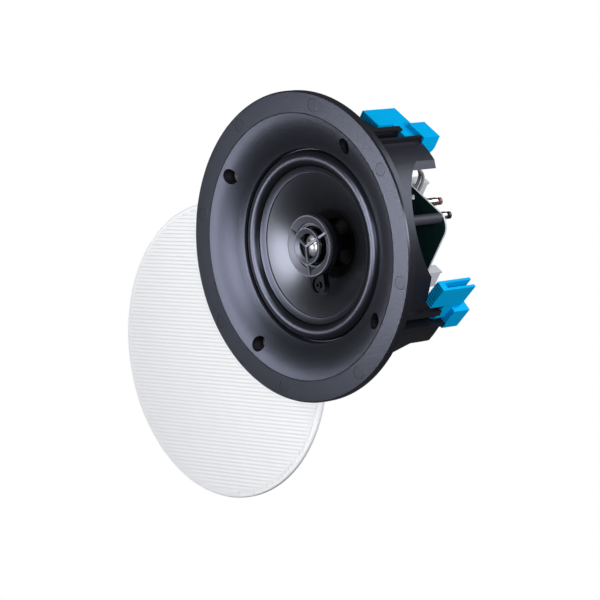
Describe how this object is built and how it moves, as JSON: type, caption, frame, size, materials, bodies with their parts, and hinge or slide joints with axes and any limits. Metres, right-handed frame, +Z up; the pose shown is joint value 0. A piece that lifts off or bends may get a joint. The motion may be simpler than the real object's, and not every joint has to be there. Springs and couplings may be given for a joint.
{
  "type": "ceiling speaker",
  "caption": "Round two-way ceiling speaker: dished flange, coaxial dome tweeter, swing-out clamps, crossover board and magnetic grille.",
  "frame": {"origin": "centre of the flange's back face, which seats on the ceiling", "axes": "+Z up into the ceiling along the speaker's axis, so the speaker faces down along -Z; +X towards the tweeter's lug"},
  "size_m": [0.3022, 0.4569, 0.1146],
  "materials": {
    "moulded_abs": "fine texture",
    "disc_magnet": "satin",
    "foam": "closed-cell foam",
    "glass_filled_nylon": "matt",
    "phenolic": "matt",
    "zinc_screw": "zinc plated",
    "butyl_rubber": "smooth",
    "coated_pulp": "coated, satin",
    "aluminium_foil": "plain",
    "enamelled_copper": "enamelled",
    "treated_cotton": "woven, resin treated",
    "zinc_steel": "zinc plated",
    "ferrite": "ground",
    "moulded_black": "satin",
    "nickel_neodymium": "nickel plated",
    "titanium": "drawn foil",
    "satin_abs": "satin",
    "glass_fibre": "solder mask",
    "white_nylon": "matt",
    "silver_sleeve": "shrink sleeve",
    "cement": "cement filled ceramic",
    "nickel": "nickel plated",
    "red_plastic": "moulded",
    "black_plastic": "moulded",
    "grey_pvc": "extruded",
    "blue_nylon": "moulded",
    "white_enamel": "powder coat"
  },
  "bodies": {
    "root": {"frame": "moulded_abs", "flange_magnets": "disc_magnet", "woofer_gasket": "foam", "woofer_basket": "glass_filled_nylon", "woofer_terminal": "phenolic", "basket_screws": "zinc_screw", "surround": "butyl_rubber", "spider": "treated_cotton", "top_plate": "zinc_steel", "magnet": "ferrite", "yoke": "zinc_steel", "tweeter_post": "moulded_black", "tweeter_cup": "moulded_black", "tweeter_yoke": "zinc_steel", "tweeter_magnet": "nickel_neodymium", "tweeter_top_plate": "zinc_steel", "tweeter_suspension": "butyl_rubber", "tweeter_face": "satin_abs", "tweeter_lug": "moulded_black", "crossover_board": "glass_fibre", "board_screws": "zinc_screw", "inductor_bobbin": "white_nylon", "inductor_winding": "enamelled_copper", "core_inductor": "enamelled_copper", "large_capacitor": "silver_sleeve", "small_capacitor": "silver_sleeve", "resistors": "cement", "terminal_posts": "nickel", "woofer_leads": "grey_pvc", "tweeter_leads": "grey_pvc", "grille": "white_enamel"},
    "woofer_coil": {"cone": "coated_pulp", "voice_coil_former": "aluminium_foil", "voice_coil_winding": "enamelled_copper"},
    "dome_coil": {"tweeter_dome": "titanium"},
    "plunger_red": {"red_plunger": "red_plastic"},
    "plunger_black": {"black_plunger": "black_plastic"},
    "arm_1": {"clamp_1": "blue_nylon"},
    "screw_1": {"clamp_screw_1": "zinc_screw"},
    "arm_2": {"clamp_2": "blue_nylon"},
    "screw_2": {"clamp_screw_2": "zinc_screw"},
    "arm_3": {"clamp_3": "blue_nylon"},
    "screw_3": {"clamp_screw_3": "zinc_screw"},
    "arm_4": {"clamp_4": "blue_nylon"},
    "screw_4": {"clamp_screw_4": "zinc_screw"}
  },
  "joints": [
    {"name": "cone_travel", "type": "slide", "parent": "root", "child": "woofer_coil", "axis": [0, 0, 1], "range_m": [-0.004, 0.004], "stiffness_N_per_m": 1500, "deforming": ["surround", "spider"]},
    {"name": "dome_travel", "type": "slide", "parent": "root", "child": "dome_coil", "axis": [0, 0, 1], "range_m": [-0.0003, 0.0003], "stiffness_N_per_m": 2000, "deforming": ["tweeter_suspension"]},
    {"name": "red_push", "type": "slide", "parent": "root", "child": "plunger_red", "axis": [0, 0, -1], "range_m": [0, 0.0025], "stiffness_N_per_m": 400, "springref_m": -0.001},
    {"name": "black_push", "type": "slide", "parent": "root", "child": "plunger_black", "axis": [0, 0, -1], "range_m": [0, 0.0025], "stiffness_N_per_m": 400, "springref_m": -0.001},
    {"name": "arm_1_swing", "type": "hinge", "parent": "root", "child": "arm_1", "pos_m": [0.06505, 0.06505, 0.06], "axis": [0, 0, 1], "range_deg": [0, 90]},
    {"name": "screw_1_spin", "type": "hinge", "parent": "root", "child": "screw_1", "pos_m": [0.06505, 0.06505, 0.06], "axis": [0, 0, 1], "continuous": true},
    {"name": "arm_2_swing", "type": "hinge", "parent": "root", "child": "arm_2", "pos_m": [-0.06505, 0.06505, 0.06], "axis": [0, 0, 1], "range_deg": [0, 90]},
    {"name": "screw_2_spin", "type": "hinge", "parent": "root", "child": "screw_2", "pos_m": [-0.06505, 0.06505, 0.06], "axis": [0, 0, 1], "continuous": true},
    {"name": "arm_3_swing", "type": "hinge", "parent": "root", "child": "arm_3", "pos_m": [-0.06505, -0.06505, 0.06], "axis": [0, 0, 1], "range_deg": [0, 90]},
    {"name": "screw_3_spin", "type": "hinge", "parent": "root", "child": "screw_3", "pos_m": [-0.06505, -0.06505, 0.06], "axis": [0, 0, 1], "continuous": true},
    {"name": "arm_4_swing", "type": "hinge", "parent": "root", "child": "arm_4", "pos_m": [0.06505, -0.06505, 0.06], "axis": [0, 0, 1], "range_deg": [-13, 77]},
    {"name": "screw_4_spin", "type": "hinge", "parent": "root", "child": "screw_4", "pos_m": [0.06505, -0.06505, 0.06], "axis": [0, 0, 1], "continuous": true}
  ]
}
